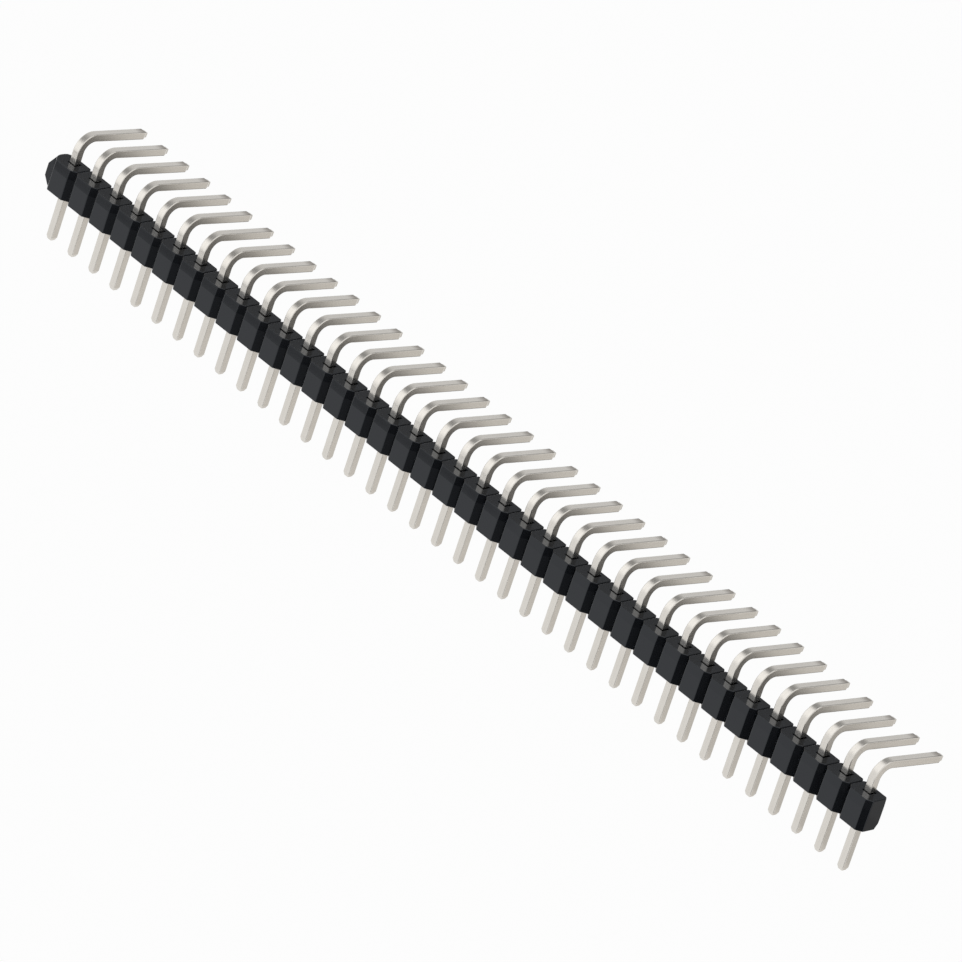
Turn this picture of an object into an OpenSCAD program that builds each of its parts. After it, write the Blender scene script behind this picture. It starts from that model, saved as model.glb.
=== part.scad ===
// Right-angle breakaway pin header strip with one row of pins, in millimetres.
// +X runs along the row, +Y is the way the bent arms point and +Z is up.
// The origin is on the middle of the row's pin axes, in the plane of the housing's
// underside, which is the face that seats on a circuit board.

/* [Row] */
// Number of pins, and of segments in the housing
pin_count = 37; // [2:1:40]
// Distance from one pin to the next
pitch = 2.54; // [2.2:0.01:5.08]

/* [Housing] */
// Height of the housing, along the pins
housing_h = 2.65; // [1.5:0.01:9]
// Depth of the housing, across the row
housing_d = 2.1; // [1.8:0.01:4]
// How far the pins stand behind the middle of the housing's depth
pin_setback = 0.22; // [-0.25:0.01:0.25]
// Run of one flank of a front notch along the row
front_notch_w = 0.45; // [0.1:0.01:0.6]
// Depth of the front notches
front_notch_d = 0.44; // [0.1:0.01:0.5]
// Run of one flank of a back notch along the row
back_notch_w = 0.2; // [0.05:0.01:0.6]
// Depth of the back notches
back_notch_d = 0.22; // [0.05:0.01:0.3]

/* [Break lines] */
// Width of the V groove scored across each neck
score_w = 0.1; // [0.04:0.01:0.2]
// Depth of that groove
score_d = 0.1; // [0.04:0.01:0.4]

/* [Pin mouths] */
// Gap round each pin where it leaves the top of the housing
mouth_gap = 0.08; // [0.03:0.01:0.15]
// Depth of that widened mouth
mouth_depth = 0.35; // [0.1:0.01:1]

/* [Ends] */
// How far the torn web stands out from the left end
web_l = 0.6; // [0.1:0.01:1]
// Height of the torn web's flat tip
web_tip_h = 1.05; // [0.2:0.01:1.2]
// How far the tip lies below the middle of the housing's height
web_drop = 0.12; // [-0.1:0.01:0.12]
// How far the lip at the top of the torn web bulges
lip_l = 0.2; // [0.05:0.01:0.3]
// Height of that lip
lip_h = 0.35; // [0.1:0.01:0.5]
// Depth of the bevel under the back edge of the right end
end_bevel_d = 0.46; // [0.3:0.01:0.5]
// Height of that bevel
end_bevel_h = 0.92; // [0.3:0.01:1.2]

/* [Pins] */
// Side of the square wire
pin_w = 0.64; // [0.5:0.01:0.8]
// Length of the straight leg below the housing
leg_l = 4.15; // [1:0.05:12]
// Height of the wire's middle above the housing at the top of the bend
arm_rise = 2.25; // [1.6:0.01:6]
// Inner radius of the bend
bend_r = 0.88; // [0.3:0.01:1.2]
// How far past a right angle the wire is bent, in degrees
over_bend = 5; // [0:0.5:15]
// Distance from the leg's middle to the tip of the arm, along Y
arm_reach = 6.88; // [3:0.01:15]
// Length of the arm's tapered tip
arm_tip_l = 0.42; // [0.1:0.01:1]
// Length of the leg's tapered tip
leg_tip_l = 0.28; // [0.1:0.01:0.9]
// Side of the flat at the end of either tip
tip_w = 0.42; // [0.1:0.01:0.45]

/* [Hidden] */
cut = 0.1; // how far a cutting shape runs past the surface that it cuts
row_l = pitch * pin_count;
front_y = -housing_d / 2 - pin_setback;
back_y = housing_d / 2 - pin_setback;
neck_front_y = front_y + front_notch_d;
neck_back_y = back_y - back_notch_d;
neck_d = neck_back_y - neck_front_y;
mouth_w = pin_w + 2 * mouth_gap;
wire_bend_r = bend_r + pin_w / 2;
bend_angle = 90 + over_bend;
bend_z = housing_h + arm_rise - wire_bend_r;
arm_y = wire_bend_r * (1 - cos(bend_angle));
arm_l = (arm_reach - arm_y) / sin(bend_angle);

function zero_padded(n) = str(n < 10 ? "0" : "", n);
pin_names = [for (i = [1 : pin_count]) str("pin_", zero_padded(i))];

function pin_x(i) = (i - (pin_count - 1) / 2) * pitch;

// Outline of the whole row seen from above: one notched segment for each pin.
function front_edge(x) = [
    [x - pitch / 2, neck_front_y],
    [x - pitch / 2 + front_notch_w, front_y],
    [x + pitch / 2 - front_notch_w, front_y],
];
function back_edge(x) = [
    [x + pitch / 2, neck_back_y],
    [x + pitch / 2 - back_notch_w, back_y],
    [x - pitch / 2 + back_notch_w, back_y],
];
function row_outline() = concat(
    [for (i = [0 : pin_count - 1]) each front_edge(pin_x(i))],
    [[row_l / 2, neck_front_y]],
    [for (i = [pin_count - 1 : -1 : 0]) each back_edge(pin_x(i))],
    [[-row_l / 2, neck_back_y]]
);

// Outline of the torn web's lip: how far along the neck's depth, and its share of the bulge.
LIP_POINTS = [[0, 0], [0.15, 0.55], [0.4, 1], [0.7, 0.95], [0.92, 0.55], [1, 0]];
function lip_outline() = [
    for (p = LIP_POINTS) [-row_l / 2 - p[1] * lip_l, neck_front_y + p[0] * neck_d]
];

// The strip was snapped from a longer one, and part of a web stayed on its left end.
module torn_web() {
    middle_z = housing_h / 2 - web_drop;
    translate([0, 0, housing_h - lip_h]) linear_extrude(lip_h) polygon(lip_outline());
    translate([-row_l / 2, neck_back_y, 0])
        rotate([90, 0, 0])
            linear_extrude(neck_d)
                polygon([
                    [0, 0],
                    [0, housing_h],
                    [-web_l, middle_z + web_tip_h / 2],
                    [-web_l, middle_z - web_tip_h / 2],
                ]);
}

// Groove across the top of one neck, where the strip is meant to snap.
module break_line() {
    slope = score_w / 2 / score_d;
    half_w = (score_d + cut) * slope;
    translate([0, back_y + cut, housing_h])
        rotate([90, 0, 0])
            linear_extrude(housing_d + 2 * cut)
                polygon([[0, -score_d], [half_w, cut], [-half_w, cut]]);
}

// Square hole that grips the wire, wider for a short way at the top.
module pin_hole() {
    translate([-pin_w / 2, -pin_w / 2, -cut])
        cube([pin_w, pin_w, housing_h + 2 * cut]);
    translate([-mouth_w / 2, -mouth_w / 2, housing_h - mouth_depth])
        cube([mouth_w, mouth_w, mouth_depth + cut]);
}

// Bevel along the bottom back edge of the right end, over the end notch's flank.
module end_bevel() {
    translate([row_l / 2 - back_notch_w - pitch / 4, back_y, 0])
        rotate([90, 0, 90])
            linear_extrude(pitch)
                polygon([
                    [-end_bevel_d, 0],
                    [-end_bevel_d, -cut],
                    [cut, -cut],
                    [cut, end_bevel_h],
                    [0, end_bevel_h],
                ]);
}

module housing() {
    color([0.16, 0.16, 0.17])
        difference() {
            union() {
                linear_extrude(housing_h) polygon(row_outline());
                torn_web();
            }
            for (i = [0 : pin_count - 1]) translate([pin_x(i), 0, 0]) pin_hole();
            for (i = [1 : pin_count - 1]) translate([pin_x(i) - pitch / 2, 0, 0]) break_line();
            end_bevel();
        }
}

// Side view of a straight bar along Z whose top end tapers to a tip.
module bar_side(l, tip_l) {
    polygon([
        [-pin_w / 2, 0],
        [pin_w / 2, 0],
        [pin_w / 2, l - tip_l],
        [tip_w / 2, l],
        [-tip_w / 2, l],
        [-pin_w / 2, l - tip_l],
    ]);
}

// Square bar that starts at the origin, runs up Z and ends in a four-sided tip.
module tipped_bar(l, tip_l) {
    intersection() {
        rotate([90, 0, 0]) translate([0, 0, -pin_w / 2]) linear_extrude(pin_w) bar_side(l, tip_l);
        rotate([90, 0, 90]) translate([0, 0, -pin_w / 2]) linear_extrude(pin_w) bar_side(l, tip_l);
    }
}

// The bent stretch, in the YZ plane, from straight up to the arm's direction.
module wire_bend() {
    translate([0, wire_bend_r, bend_z])
        rotate([0, 0, 180])
            rotate([90, 0, 90])
                rotate_extrude(angle = bend_angle, $fn = 96)
                    translate([bend_r, -pin_w / 2])
                        square(pin_w);
}

// One pin: a single square wire with its leg, its bend and its arm.
module pin(i) {
    color([0.78, 0.76, 0.72])
        translate([pin_x(i), 0, 0])
            union() {
                translate([0, 0, bend_z]) mirror([0, 0, 1]) tipped_bar(bend_z + leg_l, leg_tip_l);
                wire_bend();
                translate([0, wire_bend_r, bend_z])
                    rotate([-bend_angle, 0, 0])
                        translate([0, -wire_bend_r, 0])
                            tipped_bar(arm_l, arm_tip_l);
            }
}

housing();
for (i = [0 : pin_count - 1])
    pin(i);
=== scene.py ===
"""Looks of a right-angle breakaway pin header strip: glossy black housing, satin tin pins.

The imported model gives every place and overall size. Lengths here are in metres.
"""

import math

import bmesh
import bpy
from mathutils import Matrix, Vector


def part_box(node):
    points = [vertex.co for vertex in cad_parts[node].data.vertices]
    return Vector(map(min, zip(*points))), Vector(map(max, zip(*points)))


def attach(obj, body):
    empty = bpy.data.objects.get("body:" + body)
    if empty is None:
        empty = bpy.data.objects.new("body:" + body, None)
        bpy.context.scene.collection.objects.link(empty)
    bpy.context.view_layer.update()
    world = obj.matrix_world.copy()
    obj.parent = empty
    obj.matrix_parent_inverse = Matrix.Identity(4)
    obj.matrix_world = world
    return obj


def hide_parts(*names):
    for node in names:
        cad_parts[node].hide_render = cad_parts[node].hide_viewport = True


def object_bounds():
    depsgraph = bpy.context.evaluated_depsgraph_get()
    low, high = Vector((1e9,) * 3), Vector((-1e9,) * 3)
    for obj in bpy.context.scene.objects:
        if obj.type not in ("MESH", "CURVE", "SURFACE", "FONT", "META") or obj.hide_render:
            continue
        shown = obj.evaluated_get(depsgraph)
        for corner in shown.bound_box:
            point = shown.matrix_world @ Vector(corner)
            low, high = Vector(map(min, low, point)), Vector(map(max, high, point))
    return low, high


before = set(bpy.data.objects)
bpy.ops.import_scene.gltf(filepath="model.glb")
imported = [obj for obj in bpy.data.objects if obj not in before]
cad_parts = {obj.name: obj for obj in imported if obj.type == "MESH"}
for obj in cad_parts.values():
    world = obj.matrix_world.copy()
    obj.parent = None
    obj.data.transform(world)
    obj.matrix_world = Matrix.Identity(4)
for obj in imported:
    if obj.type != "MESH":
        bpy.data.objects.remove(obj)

CAD_BOX = [list(corner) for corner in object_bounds()]

MM = 0.001
PIN_NODES = sorted(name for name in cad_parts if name.startswith("pin_"))


# ---------------------------------------------------------------- pins: sizes

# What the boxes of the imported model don't say about the square wire and its bend.
WIRE_CORNER = 0.065 * MM
CORNER_STEPS = 4
BEND_RADIUS = 0.88 * MM
BEND_ANGLE = math.radians(95)
BEND_STEPS = 24
ARM_TIP = 0.42 * MM
LEG_TIP = 0.28 * MM
TIP_SIDE = 0.42 * MM
# Tips: how far along one each ring stands, and its side as a share of the wire's.
ARM_TIP_RINGS = ((0.3, 0.84), (0.42, 0.72), (0.85, 0.65), (1.0, 0.48))
LEG_TIP_RINGS = ((0.82, 0.71), (0.94, 0.66), (1.0, 0.56))
# A face of the wire whose normal has a longer X than this is one of its sides.
SIDEWAYS = 0.7

first_low, first_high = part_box(PIN_NODES[0])
last_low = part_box(PIN_NODES[-1])[0]
WIRE = first_high.x - first_low.x
PITCH = (last_low.x - first_low.x) / (len(PIN_NODES) - 1)
# Radius of the bend along the wire's middle line, and the centre that it turns about.
WIRE_BEND = BEND_RADIUS + WIRE / 2
BEND_Z = first_high.z - WIRE / 2 - WIRE_BEND
BEND_CENTRE = Vector((0, WIRE_BEND, BEND_Z))
LEG_END = first_low.z
# The arm's own directions, and the straight stretches between the bend and either tip.
ARM_OUT = Vector((0, math.sin(BEND_ANGLE), math.cos(BEND_ANGLE)))
ARM_UP = Vector((0, -math.cos(BEND_ANGLE), math.sin(BEND_ANGLE)))
ARM_REACH = first_high.y - TIP_SIDE / 2 * abs(math.cos(BEND_ANGLE))
ARM_FLAT = (ARM_REACH - WIRE_BEND * (1 - math.cos(BEND_ANGLE))) / math.sin(BEND_ANGLE) - ARM_TIP
LEG_FLAT = BEND_Z - LEG_END - LEG_TIP
# How far along the wire, from the housing's underside, the arm starts and its tip starts.
ARM_START = BEND_Z + WIRE_BEND * BEND_ANGLE
ARM_FLAT_END = ARM_START + ARM_FLAT


# ---------------------------------------------------------------- housing: sizes

# Share of the height at which the mould parts, and how far the walls above it lean in.
PARTING_SHARE = 0.71
WALL_LEAN = 0.05 * MM
# The pin mouths lie nearer the row's middle line than this, and stay upright.
MOUTH_REACH = 0.5 * MM
# Rounding of the moulded edges that turn by more than a sharp angle.
EDGE_ROUND = 0.05 * MM
ROUND_STEPS = 3
SHARP_ANGLE = math.radians(25)
# Points this close are one, and faces that turn by less than these angles are one flat face.
WELD_GAP = 0.0005 * MM
MERGED_ANGLE = math.radians(0.5)
FLAT_ANGLE = math.radians(0.2)


# ---------------------------------------------------------------- finishes: values

# Black plastic, in its two shades, and the tint of its gloss.
BLACK_DEEP = (0.0030, 0.0036, 0.0050, 1)
BLACK_PALE = (0.0050, 0.0058, 0.0078, 1)
COOL_GLOSS = (0.88, 0.93, 1.0, 1)
PLASTIC_ROUGHNESS = 0.1
PLASTIC_RELIEF = 0.002 * MM
# Refraction, which sets how much each face of the housing shines. The top and the right end are
# copies of one plastic whose shine is set by how the light falls there: painted light.
SIDES_IOR = 1.47
TOP_IOR = 1.8
END_IOR = 1.33
# Depths below a face between which its own painted shine gives way to the sides'.
SHINE_FULL = 0.004 * MM
SHINE_GONE = 0.01 * MM
# How far past the row's left end the torn web's finish starts and is full, what it adds to
# the roughness, and how many times the plain relief it stands.
TORN_START = 0.02 * MM
TORN_FULL = 0.15 * MM
TORN_ROUGHNESS = 0.3
TORN_RELIEF = 12.0

# Tin plate, in its two shades, then warmer, along the drawing lines, and the painted shade on the
# top of each arm's tip.
TIN_DEEP = (0.655, 0.63, 0.585, 1)
TIN_PALE = (0.735, 0.71, 0.668, 1)
TIN_WARM = (0.66, 0.62, 0.56, 1)
TIN_LINE = (0.42, 0.38, 0.34, 1)
TIN_TIP_SHADE = (0.22, 0.195, 0.17, 1)
LINE_SHARE = 0.12
TIN_ROUGHNESS = 0.14
TIN_RELIEF = 0.0015 * MM
# Painted shade: the top of each arm is painted darker just before its tip, in place of a darker
# reflection there: over what length, and how much.
TIP_SHADE_LENGTH = 1.0 * MM
TIP_SHADE_EDGE = 0.05 * MM
TIP_SHADE_SHARE = 0.8

# Light and backdrop, plain or a little warm.
NEUTRAL = (1.0, 1.0, 1.0, 1)
WARM = (1.0, 0.972, 0.935, 1)


# ---------------------------------------------------------------- studio: values

# Camera: the point that it aims at, where it stands, seen from there, and how far it sees.
CAMERA_AIM = Vector((0.81, 1.76, 1.74)) * MM
CAMERA_AZIMUTH = math.radians(38.7)
CAMERA_ELEVATION = math.radians(26.52)
CAMERA_ROLL = math.radians(18.6)
CAMERA_DISTANCE = 0.9
CAMERA_LENS = 449.7
CAMERA_SIGHT = 10

# Floor: how far below the legs it lies, how far it reaches, its own grey and its glow.
FLOOR_DROP = 0.3
FLOOR_REACH = 6
FLOOR_GREY = (0.3, 0.3, 0.3, 1)
FLOOR_GLOW = 0.74
# World: how pale the backdrop is, and how strongly the room lights the object.
BACKDROP = 0.965
ROOM_LIGHT = 0.8

# Panels that only the reflections show, curved round the row: a bright one for the lamp's soft
# box, grey or black ones for screens, and close dark ones that are painted shadow, the shade
# beside the row as the pins and housing mirror it. Each has
#   ends: the X of its right end and of its left end,
#   radius: its distance from the line along the row through the origin,
#   right, left: the angles in degrees, turned up from -Y, where it starts and stops at each end,
#   colour, brightness: what its inner side glows with,
#   fades: the shares of its length and height that fade out at its ends, start and stop.
PANELS = {
    "soft_box": {
        "ends": (-0.10, -0.31), "radius": 0.30, "right": (30, 112), "left": (-46, 33),
        "colour": NEUTRAL, "brightness": 1.32, "fades": (0.1, 0.26, 0.26),
    },
    "top_screen": {
        "ends": (-0.09, -0.30), "radius": 0.28, "right": (96, 166), "left": (16, 98),
        "colour": NEUTRAL, "brightness": 0.28, "fades": (0.1, 0.22, 0.62),
    },
    "back_left_screen": {
        "ends": (-0.10, -0.34), "radius": 0.34, "right": (116, 180), "left": (40, 180),
        "colour": NEUTRAL, "brightness": 0.75, "fades": (0.05, 0.1, 0.1),
    },
    "back_left_low_screen": {
        "ends": (-0.04, -0.40), "radius": 0.36, "right": (180, 205), "left": (180, 205),
        "colour": NEUTRAL, "brightness": 0.25, "fades": (0.08, 0.15, 0.15),
    },
    "back_screen": {
        "ends": (0.34, -0.15), "radius": 0.35, "right": (115, 161), "left": (115, 161),
        "colour": NEUTRAL, "brightness": 0.42, "fades": (0.05, 0.05, 0.05),
    },
    "back_right_screen": {
        "ends": (0.36, -0.03), "radius": 0.25, "right": (183, 240), "left": (183, 240),
        "colour": WARM, "brightness": 0.75, "fades": (0.1, 0.1, 0.1),
    },
    "front_right_screen": {
        "ends": (0.35, 0.12), "radius": 0.25, "right": (-54, -12), "left": (-54, -12),
        "colour": NEUTRAL, "brightness": 0.05, "fades": (0.08, 0.1, 0.1),
    },
    "front_right_low_screen": {
        "ends": (0.26, 0.12), "radius": 0.24, "right": (-52, -31), "left": (-52, -31),
        "colour": NEUTRAL, "brightness": 0.24, "fades": (0.25, 0.1, 0.1),
    },
    "band_screen": {
        "ends": (0.001, -0.068), "radius": 0.0124, "right": (-14.8, -11.0), "left": (-14.8, -11.0),
        "colour": NEUTRAL, "brightness": 0.42, "fades": (0.08, 0.05, 0.05),
    },
    # Painted shadow: a dark panel just above the housing, standing in for the shade that its top
    # mirrors.
    "housing_top_shadow_panel": {
        "ends": (0.050, -0.052), "radius": 0.0042, "right": (100.5, 127), "left": (100.5, 127),
        "colour": NEUTRAL, "brightness": 0.2, "fades": (0.01, 0.05, 0.05),
    },
    # Painted shadow: a dark panel close to the legs, standing in for the shade that their sides
    # mirror.
    "leg_side_shadow_panel": {
        "ends": (0.105, 0.000), "radius": 0.006, "right": (203, 245), "left": (203, 245),
        "colour": WARM, "brightness": 0.62, "fades": (0.5, 0.1, 0.1),
    },
    "shadow_behind": {
        "ends": (0.056, -0.062), "radius": 0.015, "right": (188, 214), "left": (186, 214),
        "colour": WARM, "brightness": 0.12, "fades": (0.08, 0.35, 0.35),
    },
}
PANEL_STEPS = 16


# ---------------------------------------------------------------- shader graphs


class Signal:
    """A socket of a shader graph, with arithmetic that adds Math nodes."""

    def __init__(self, graph, socket):
        self.graph = graph
        self.socket = socket

    def __add__(self, other):
        return self.graph.math("ADD", self, other)

    def __sub__(self, other):
        return self.graph.math("SUBTRACT", self, other)

    def __rsub__(self, other):
        return self.graph.math("SUBTRACT", other, self)

    def __mul__(self, other):
        return self.graph.math("MULTIPLY", self, other)

    __radd__ = __add__
    __rmul__ = __mul__


class Graph:
    """The node tree of a material or of the world."""

    def __init__(self, owner):
        owner.use_nodes = True
        self.tree = owner.node_tree
        self.tree.nodes.clear()

    def node(self, kind, settings=None, inputs=None, output=0):
        """Adds a node, links or sets its inputs and gives one of its outputs."""
        node = self.tree.nodes.new(kind)
        for name, value in (settings or {}).items():
            setattr(node, name, value)
        for name, value in (inputs or {}).items():
            if isinstance(value, Signal):
                self.tree.links.new(value.socket, node.inputs[name])
            else:
                node.inputs[name].default_value = value
        return Signal(self, node.outputs[output]) if len(node.outputs) else None

    def math(self, operation, *values):
        return self.node("ShaderNodeMath", {"operation": operation}, dict(enumerate(values)))

    def parts(self, vector, axes):
        """The numbers of a vector, one signal for each axis named."""
        inputs = {"Vector": vector}
        return [self.node("ShaderNodeSeparateXYZ", inputs=inputs, output=axis) for axis in axes]

    def noise(self, place, scale, detail, roughness=0.55):
        inputs = {"Vector": place, "Scale": scale, "Detail": detail, "Roughness": roughness}
        return self.node("ShaderNodeTexNoise", inputs=inputs)

    def stretched(self, place, scale):
        return self.node("ShaderNodeMapping", inputs={"Vector": place, "Scale": scale})

    def ramp(self, signal, low, high, to_low=0.0, to_high=1.0):
        """Smooth step of a signal from one range to another."""
        return self.node("ShaderNodeMapRange", {"interpolation_type": "SMOOTHSTEP"}, {
            "Value": signal,
            "From Min": low, "From Max": high,
            "To Min": to_low, "To Max": to_high,
        })

    def mix_colour(self, share, first, second):
        """Mixes two colours. The node's sockets share their names, so numbers pick them."""
        settings = {"data_type": "RGBA"}
        return self.node("ShaderNodeMix", settings, {0: share, 6: first, 7: second}, output=2)

    def bump(self, height, strength, distance, over=None):
        """Relief of a height, on top of another bump if there is one."""
        inputs = {"Height": height, "Strength": strength, "Distance": distance}
        if over:
            inputs["Normal"] = over
        return self.node("ShaderNodeBump", inputs=inputs)

    def mix_shader(self, share, first, second):
        return self.node("ShaderNodeMixShader", inputs={0: share, 1: first, 2: second})

    def surface(self, shader, kind="ShaderNodeOutputMaterial"):
        self.node(kind, inputs={"Surface": shader})


def finish_material(name, build, **settings):
    material = bpy.data.materials.new(name)
    build(Graph(material), **settings)
    return material


# ---------------------------------------------------------------- finishes


def glossy_black_plastic(graph):
    """Moulded black plastic: painted light makes it glossiest on top and duller on its right end;
    rough on the torn web.
    """
    place = graph.node("ShaderNodeTexCoord", output="Object")
    x, z = graph.parts(place, "XZ")
    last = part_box("housing")[1]
    on_top = graph.ramp(z, last.z - SHINE_GONE, last.z - SHINE_FULL)
    on_end = graph.ramp(x, last.x - SHINE_GONE, last.x - SHINE_FULL)
    row_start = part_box(PIN_NODES[0])[0].x - (PITCH - WIRE) / 2
    torn = graph.ramp(x, row_start - TORN_FULL, row_start - TORN_START, to_low=1.0, to_high=0.0)
    swirl = graph.noise(place, scale=420, detail=4)
    grain = graph.noise(place, scale=9000, detail=3)
    colour = graph.mix_colour(swirl, BLACK_DEEP, BLACK_PALE)
    roughness = PLASTIC_ROUGHNESS + swirl * 0.08 + torn * TORN_ROUGHNESS
    swell = graph.noise(place, scale=900, detail=1)
    waves = graph.bump(swell, strength=0.25, distance=PLASTIC_RELIEF)
    fracture = torn * graph.noise(place, scale=5000, detail=5)
    relief = grain * 0.4 + fracture * TORN_RELIEF
    normal = graph.bump(relief, strength=0.35, distance=PLASTIC_RELIEF, over=waves)
    # Painted light: lit and shaded copies of one plastic, the top shinier and the right end duller
    # than the sides.
    sides, top, end = (
        graph.node("ShaderNodeBsdfPrincipled", inputs={
            "Base Color": colour, "Roughness": roughness, "Normal": normal,
            "IOR": ior, "Specular Tint": COOL_GLOSS,
        })
        for ior in (SIDES_IOR, TOP_IOR, END_IOR)
    )
    graph.surface(graph.mix_shader(on_end, graph.mix_shader(on_top, sides, top), end))


def drawn_noise(graph, wire_place, stretch):
    """Noise that is narrow across the wire and long along it, as drawing leaves its marks."""
    return graph.noise(graph.stretched(wire_place, stretch), scale=1, detail=2, roughness=0.5)


def satin_tin(graph):
    """Tin plate over drawn wire: satin, with fine lines along the wire and faint clouds."""
    place = graph.node("ShaderNodeTexCoord", output="Object")
    wire_place = graph.node("ShaderNodeUVMap", {"uv_map": "wire"})
    across, along = graph.parts(wire_place, "XY")
    lines = drawn_noise(graph, wire_place, (6.0, 0.22, 1.0))
    scratches = drawn_noise(graph, wire_place, (26.0, 0.6, 1.0))
    clouds = graph.noise(place, scale=700, detail=3)
    warmth = graph.noise(place, scale=260, detail=1)
    colour = graph.mix_colour(clouds, TIN_DEEP, TIN_PALE)
    colour = graph.mix_colour(warmth * 0.3, colour, TIN_WARM)
    in_line = graph.ramp(lines, 0.3, 0.5, to_low=LINE_SHARE, to_high=0.0)
    colour = graph.mix_colour(in_line, colour, TIN_LINE)
    # Painted shade on the top of each arm just before its tip, standing in for a darker reflection
    # there.
    end = ARM_FLAT_END / MM
    tip_shade = graph.ramp(along, end - TIP_SHADE_LENGTH / MM, end, to_high=TIP_SHADE_SHARE)
    tip_shade = tip_shade * graph.ramp(along, end, end + TIP_SHADE_EDGE / MM, to_low=1.0, to_high=0.0)
    tip_shade = tip_shade * graph.math("GREATER_THAN", across, WIRE / MM)
    colour = graph.mix_colour(tip_shade, colour, TIN_TIP_SHADE)
    roughness = TIN_ROUGHNESS + lines * 0.06 + clouds * 0.04
    normal = graph.bump(lines + scratches * 0.1, strength=0.5, distance=TIN_RELIEF)
    graph.surface(graph.node("ShaderNodeBsdfPrincipled", inputs={
        "Base Color": colour, "Metallic": 1.0, "Roughness": roughness, "Normal": normal,
    }))


def seen_by_lens_or_gloss(graph):
    """1 for the rays that show the background, directly or in metal, plastic and glass."""
    kinds = ("Is Camera Ray", "Is Glossy Ray", "Is Transmission Ray")
    camera, gloss, glass = (graph.node("ShaderNodeLightPath", output=kind) for kind in kinds)
    return graph.math("MAXIMUM", graph.math("MAXIMUM", camera, gloss), glass)


def pale_floor(graph):
    """White floor that keeps the object's shadow and is as pale as the backdrop."""
    lit = graph.node("ShaderNodeBsdfDiffuse", inputs={"Color": FLOOR_GREY})
    strength = seen_by_lens_or_gloss(graph) * FLOOR_GLOW
    glow = graph.node("ShaderNodeEmission", inputs={"Color": NEUTRAL, "Strength": strength})
    graph.surface(graph.node("ShaderNodeAddShader", inputs={0: lit, 1: glow}))


def glowing_panel(graph, colour, brightness, fades):
    """Glow of a panel's inner side, which fades out towards its borders."""
    x, y = graph.parts(graph.node("ShaderNodeTexCoord", output="UV"), "XY")
    at_ends, at_start, at_stop = fades
    shown = graph.ramp(x, 0.0, at_ends) * graph.ramp(x, 1.0, 1 - at_ends)
    shown = shown * graph.ramp(y, 0.0, at_start) * graph.ramp(y, 1.0, 1 - at_stop)
    shown = shown * (1 - graph.node("ShaderNodeNewGeometry", output="Backfacing"))
    glow = graph.node("ShaderNodeEmission", inputs={"Color": colour, "Strength": brightness})
    clear = graph.node("ShaderNodeBsdfTransparent")
    graph.surface(graph.mix_shader(shown, clear, glow))


# ---------------------------------------------------------------- pieces


def mesh_object(name, bm, material):
    """Makes an object of a finished bmesh."""
    mesh = bpy.data.meshes.new(name)
    bm.to_mesh(mesh)
    bm.free()
    mesh.materials.append(material)
    thing = bpy.data.objects.new(name, mesh)
    bpy.context.scene.collection.objects.link(thing)
    return thing


def place_in_model(name, bm, material, replaced):
    """Makes a piece of the model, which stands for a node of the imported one."""
    piece = mesh_object(name, bm, material)
    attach(piece, "root")
    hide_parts(replaced)
    return piece


def lengthen(bm, end, move):
    """Extrudes the open end of the wire and moves the new end. Returns the new end's edges."""
    grown = bmesh.ops.extrude_edge_only(bm, edges=end)["geom"]
    verts = [part for part in grown if isinstance(part, bmesh.types.BMVert)]
    bmesh.ops.transform(bm, matrix=move, verts=verts)
    return [e for e in grown if isinstance(e, bmesh.types.BMEdge) and set(e.verts) <= set(verts)]


def shrink_about(centre, share):
    return Matrix.Translation(centre) @ Matrix.Scale(share, 4) @ Matrix.Translation(-centre)


def crease(edges):
    """Shades each of these edges as an edge, with no smooth turn over it."""
    for edge in edges:
        edge.smooth = False


def add_tip(bm, end, along, length, rings):
    """Tapers the wire to its blunt tip, ring by ring, and closes it."""
    crease(end)
    verts = {vert for edge in end for vert in edge.verts}
    centre = sum((vert.co for vert in verts), Vector()) / len(verts)
    done, side = 0.0, 1.0
    for place, share in rings:
        step = along * (place - done) * length
        centre = centre + step
        end = lengthen(bm, end, shrink_about(centre, share / side) @ Matrix.Translation(step))
        crease(end)
        done, side = place, share
    bmesh.ops.contextual_create(bm, geom=end)


def wire_map(co):
    """How far along the wire and how far off its middle line a point is."""
    if co.z <= BEND_Z:
        return co.z, co.y
    across = co - BEND_CENTRE
    turned = math.atan2(across.z, -across.y)
    if turned <= BEND_ANGLE:
        return BEND_Z + WIRE_BEND * turned, WIRE_BEND - math.hypot(across.y, across.z)
    return ARM_START + across.dot(ARM_OUT), WIRE_BEND - across.dot(ARM_UP)


def unwrap_wire(bm):
    """UV in millimetres. V runs along the wire, and U runs across it.

    On the two sides U is half a wire or less either way, and on the other faces it is more than
    one wire, so that U tells them apart.
    """
    layer = bm.loops.layers.uv.new("wire")
    for face in bm.faces:
        on_side = abs(face.normal.x) > SIDEWAYS
        for loop in face.loops:
            along, off = wire_map(loop.vert.co)
            across = off if on_side else loop.vert.co.x + 2 * WIRE
            loop[layer].uv = (across / MM, along / MM)


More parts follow.
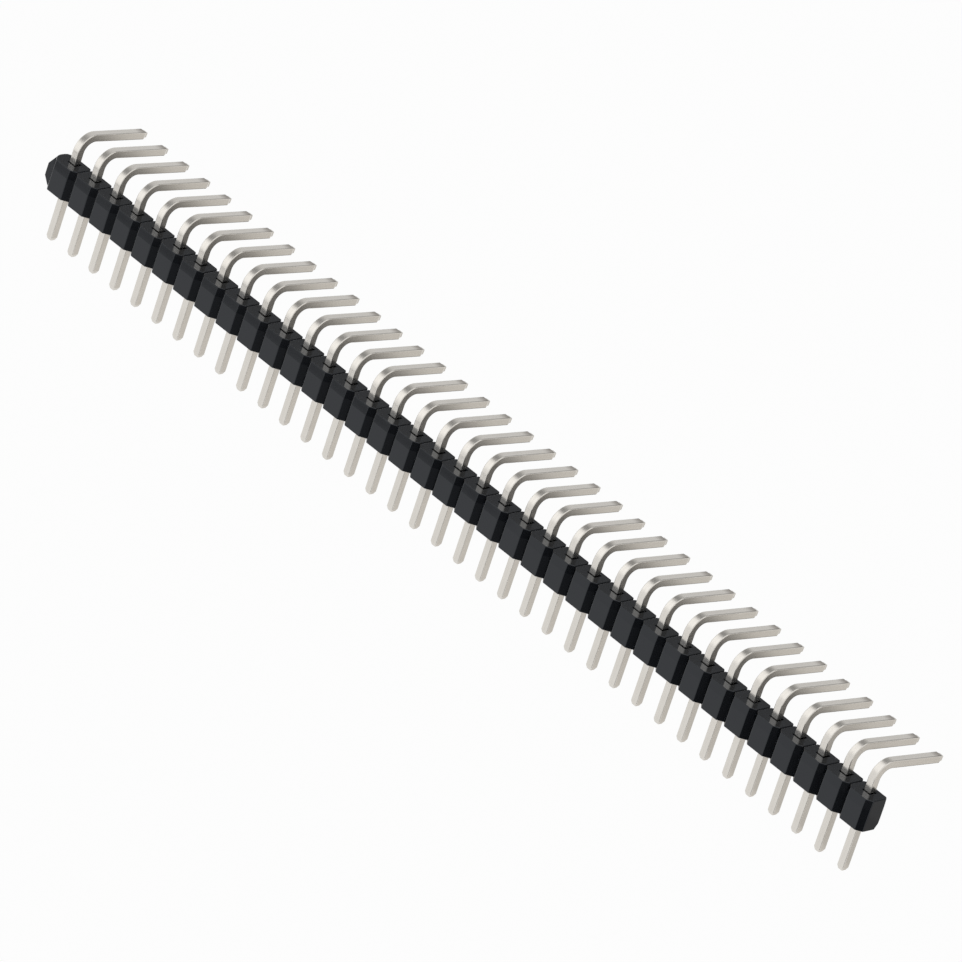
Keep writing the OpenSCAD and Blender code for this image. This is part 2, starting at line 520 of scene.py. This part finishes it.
def bent_wire():
    """One pin at the middle of the row, from its leg's tip to its arm's tip."""
    bm = bmesh.new()
    bmesh.ops.create_grid(bm, x_segments=1, y_segments=1, size=WIRE / 2)
    bmesh.ops.bevel(
        bm, geom=bm.verts[:], affect="VERTICES", offset=WIRE_CORNER, offset_type="OFFSET",
        segments=CORNER_STEPS, profile=0.5, material=-1,
    )
    bmesh.ops.delete(bm, geom=bm.faces[:], context="FACES_ONLY")
    section = bm.edges[:]
    bmesh.ops.translate(bm, vec=(0, 0, BEND_Z), verts=bm.verts[:])
    arm_end = section
    step = Matrix.Rotation(-BEND_ANGLE / BEND_STEPS, 4, "X")
    turn = Matrix.Translation(BEND_CENTRE) @ step @ Matrix.Translation(-BEND_CENTRE)
    for _ in range(BEND_STEPS):
        arm_end = lengthen(bm, arm_end, turn)
    arm_end = lengthen(bm, arm_end, Matrix.Translation(ARM_OUT * ARM_FLAT))
    add_tip(bm, arm_end, ARM_OUT, ARM_TIP, ARM_TIP_RINGS)
    down = Vector((0, 0, -1))
    leg_end = lengthen(bm, section, Matrix.Translation(down * LEG_FLAT))
    add_tip(bm, leg_end, down, LEG_TIP, LEG_TIP_RINGS)
    bmesh.ops.recalc_face_normals(bm, faces=bm.faces[:])
    unwrap_wire(bm)
    return bm


def smooth_sides(bm):
    """Shades the bend and the rounded corners smooth, and keeps the wide sides flat.

    A wide side meets its corner at half the turn between two facets of the corner.
    """
    for face in bm.faces:
        face.smooth = True
    border_turn = math.radians(90) / CORNER_STEPS / 2
    turns = ((edge, edge.calc_face_angle(0)) for edge in bm.edges)
    crease(edge for edge, turn in turns if abs(turn - border_turn) < border_turn / 3)


def make_pins(material):
    """Every pin is a copy of one bent wire, set in its own hole of the housing."""
    wire = bent_wire()
    smooth_sides(wire)
    for node in PIN_NODES:
        low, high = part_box(node)
        bm = wire.copy()
        bmesh.ops.translate(bm, vec=((low.x + high.x) / 2, 0, 0), verts=bm.verts[:])
        place_in_model("tinned_" + node, bm, material, node)
    wire.free()


def lean_walls(bm, parting, top):
    """Leans the long walls inwards above the mould's parting line."""
    cut = bm.verts[:] + bm.edges[:] + bm.faces[:]
    bmesh.ops.bisect_plane(bm, geom=cut, plane_co=(0, 0, parting), plane_no=(0, 0, 1))
    for vert in bm.verts:
        if abs(vert.co.y) > MOUTH_REACH and vert.co.z > parting:
            share = (vert.co.z - parting) / (top - parting)
            vert.co.y -= math.copysign(WALL_LEAN * share, vert.co.y)


def mark_moulded_edges(bm):
    """Picks the edges to round, and shades smooth only where two faces lie flat."""
    bm.normal_update()
    weight = bm.edges.layers.float.new("bevel_weight_edge")
    for edge in bm.edges:
        turn = edge.calc_face_angle(0)
        edge[weight] = 1.0 if edge.is_convex and turn > SHARP_ANGLE else 0.0
        edge.smooth = turn < FLAT_ANGLE
    for face in bm.faces:
        face.smooth = True


def make_housing(material):
    """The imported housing, with leaning walls and rounded edges."""
    bm = bmesh.new()
    bm.from_mesh(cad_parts["housing"].data)
    bmesh.ops.remove_doubles(bm, verts=bm.verts[:], dist=WELD_GAP)
    bmesh.ops.dissolve_limit(bm, angle_limit=MERGED_ANGLE, verts=bm.verts[:], edges=bm.edges[:])
    low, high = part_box("housing")
    lean_walls(bm, low.z + PARTING_SHARE * (high.z - low.z), high.z)
    mark_moulded_edges(bm)
    piece = place_in_model("moulded_housing", bm, material, "housing")
    rounding = piece.modifiers.new("rounded_edges", "BEVEL")
    rounding.width = EDGE_ROUND
    rounding.segments = ROUND_STEPS
    rounding.limit_method = "WEIGHT"
    rounding.harden_normals = True


# ---------------------------------------------------------------- studio


def direction(azimuth, elevation):
    """Unit vector: azimuth 0 points to -Y and turns towards +X."""
    flat = math.cos(elevation)
    return Vector((math.sin(azimuth) * flat, -math.cos(azimuth) * flat, math.sin(elevation)))


def make_camera():
    data = bpy.data.cameras.new("camera")
    data.lens = CAMERA_LENS
    data.clip_end = CAMERA_SIGHT
    camera = bpy.data.objects.new("camera", data)
    bpy.context.scene.collection.objects.link(camera)
    towards = direction(CAMERA_AZIMUTH, CAMERA_ELEVATION)
    turn = towards.to_track_quat("Z", "Y").to_matrix().to_4x4()
    roll = Matrix.Rotation(CAMERA_ROLL, 4, "Z")
    spot = CAMERA_AIM + towards * CAMERA_DISTANCE
    camera.matrix_world = Matrix.Translation(spot) @ turn @ roll
    bpy.context.scene.camera = camera


def studio_world():
    """White room: the backdrop has one strength, and the light on the object another."""
    world = bpy.data.worlds.new("studio")
    bpy.context.scene.world = world
    graph = Graph(world)
    seen = seen_by_lens_or_gloss(graph)
    strength = seen * BACKDROP + (1 - seen) * ROOM_LIGHT
    glow = graph.node("ShaderNodeBackground", inputs={"Color": NEUTRAL, "Strength": strength})
    graph.surface(glow, "ShaderNodeOutputWorld")


def stage_object(name, bm, material):
    thing = mesh_object(name, bm, material)
    return thing


def make_floor():
    bm = bmesh.new()
    bmesh.ops.create_grid(bm, x_segments=1, y_segments=1, size=FLOOR_REACH)
    bmesh.ops.translate(bm, vec=(0, 0, CAD_BOX[0][2] - FLOOR_DROP), verts=bm.verts[:])
    floor = stage_object("floor", bm, finish_material("floor", pale_floor))
    floor.visible_diffuse = False


def make_panel(name, ends, radius, right, left, **glow):
    """Bends a flat grid round the row, from one pair of angles to the other."""
    bm = bmesh.new()
    bm.loops.layers.uv.new("across")
    steps = {"x_segments": PANEL_STEPS, "y_segments": PANEL_STEPS}
    bmesh.ops.create_grid(bm, size=1, calc_uvs=True, **steps)
    starts, stops = zip(right, left)
    for vert in bm.verts:
        along, up = (vert.co.x + 1) / 2, (vert.co.y + 1) / 2
        start, stop = (low + (high - low) * along for low, high in (starts, stops))
        angle = math.radians(start + (stop - start) * up)
        x = ends[0] + (ends[1] - ends[0]) * along
        vert.co = (x, -radius * math.cos(angle), radius * math.sin(angle))
    panel = stage_object(name, bm, finish_material(name, glowing_panel, **glow))
    panel.visible_camera = False
    panel.visible_diffuse = False
    panel.visible_shadow = False


# ---------------------------------------------------------------- the whole

make_camera()
studio_world()
make_floor()
for name, settings in PANELS.items():
    make_panel(name, **settings)
make_housing(finish_material("housing_plastic", glossy_black_plastic))
make_pins(finish_material("pin_metal", satin_tin))

bpy.context.scene.view_settings.view_transform = "Standard"
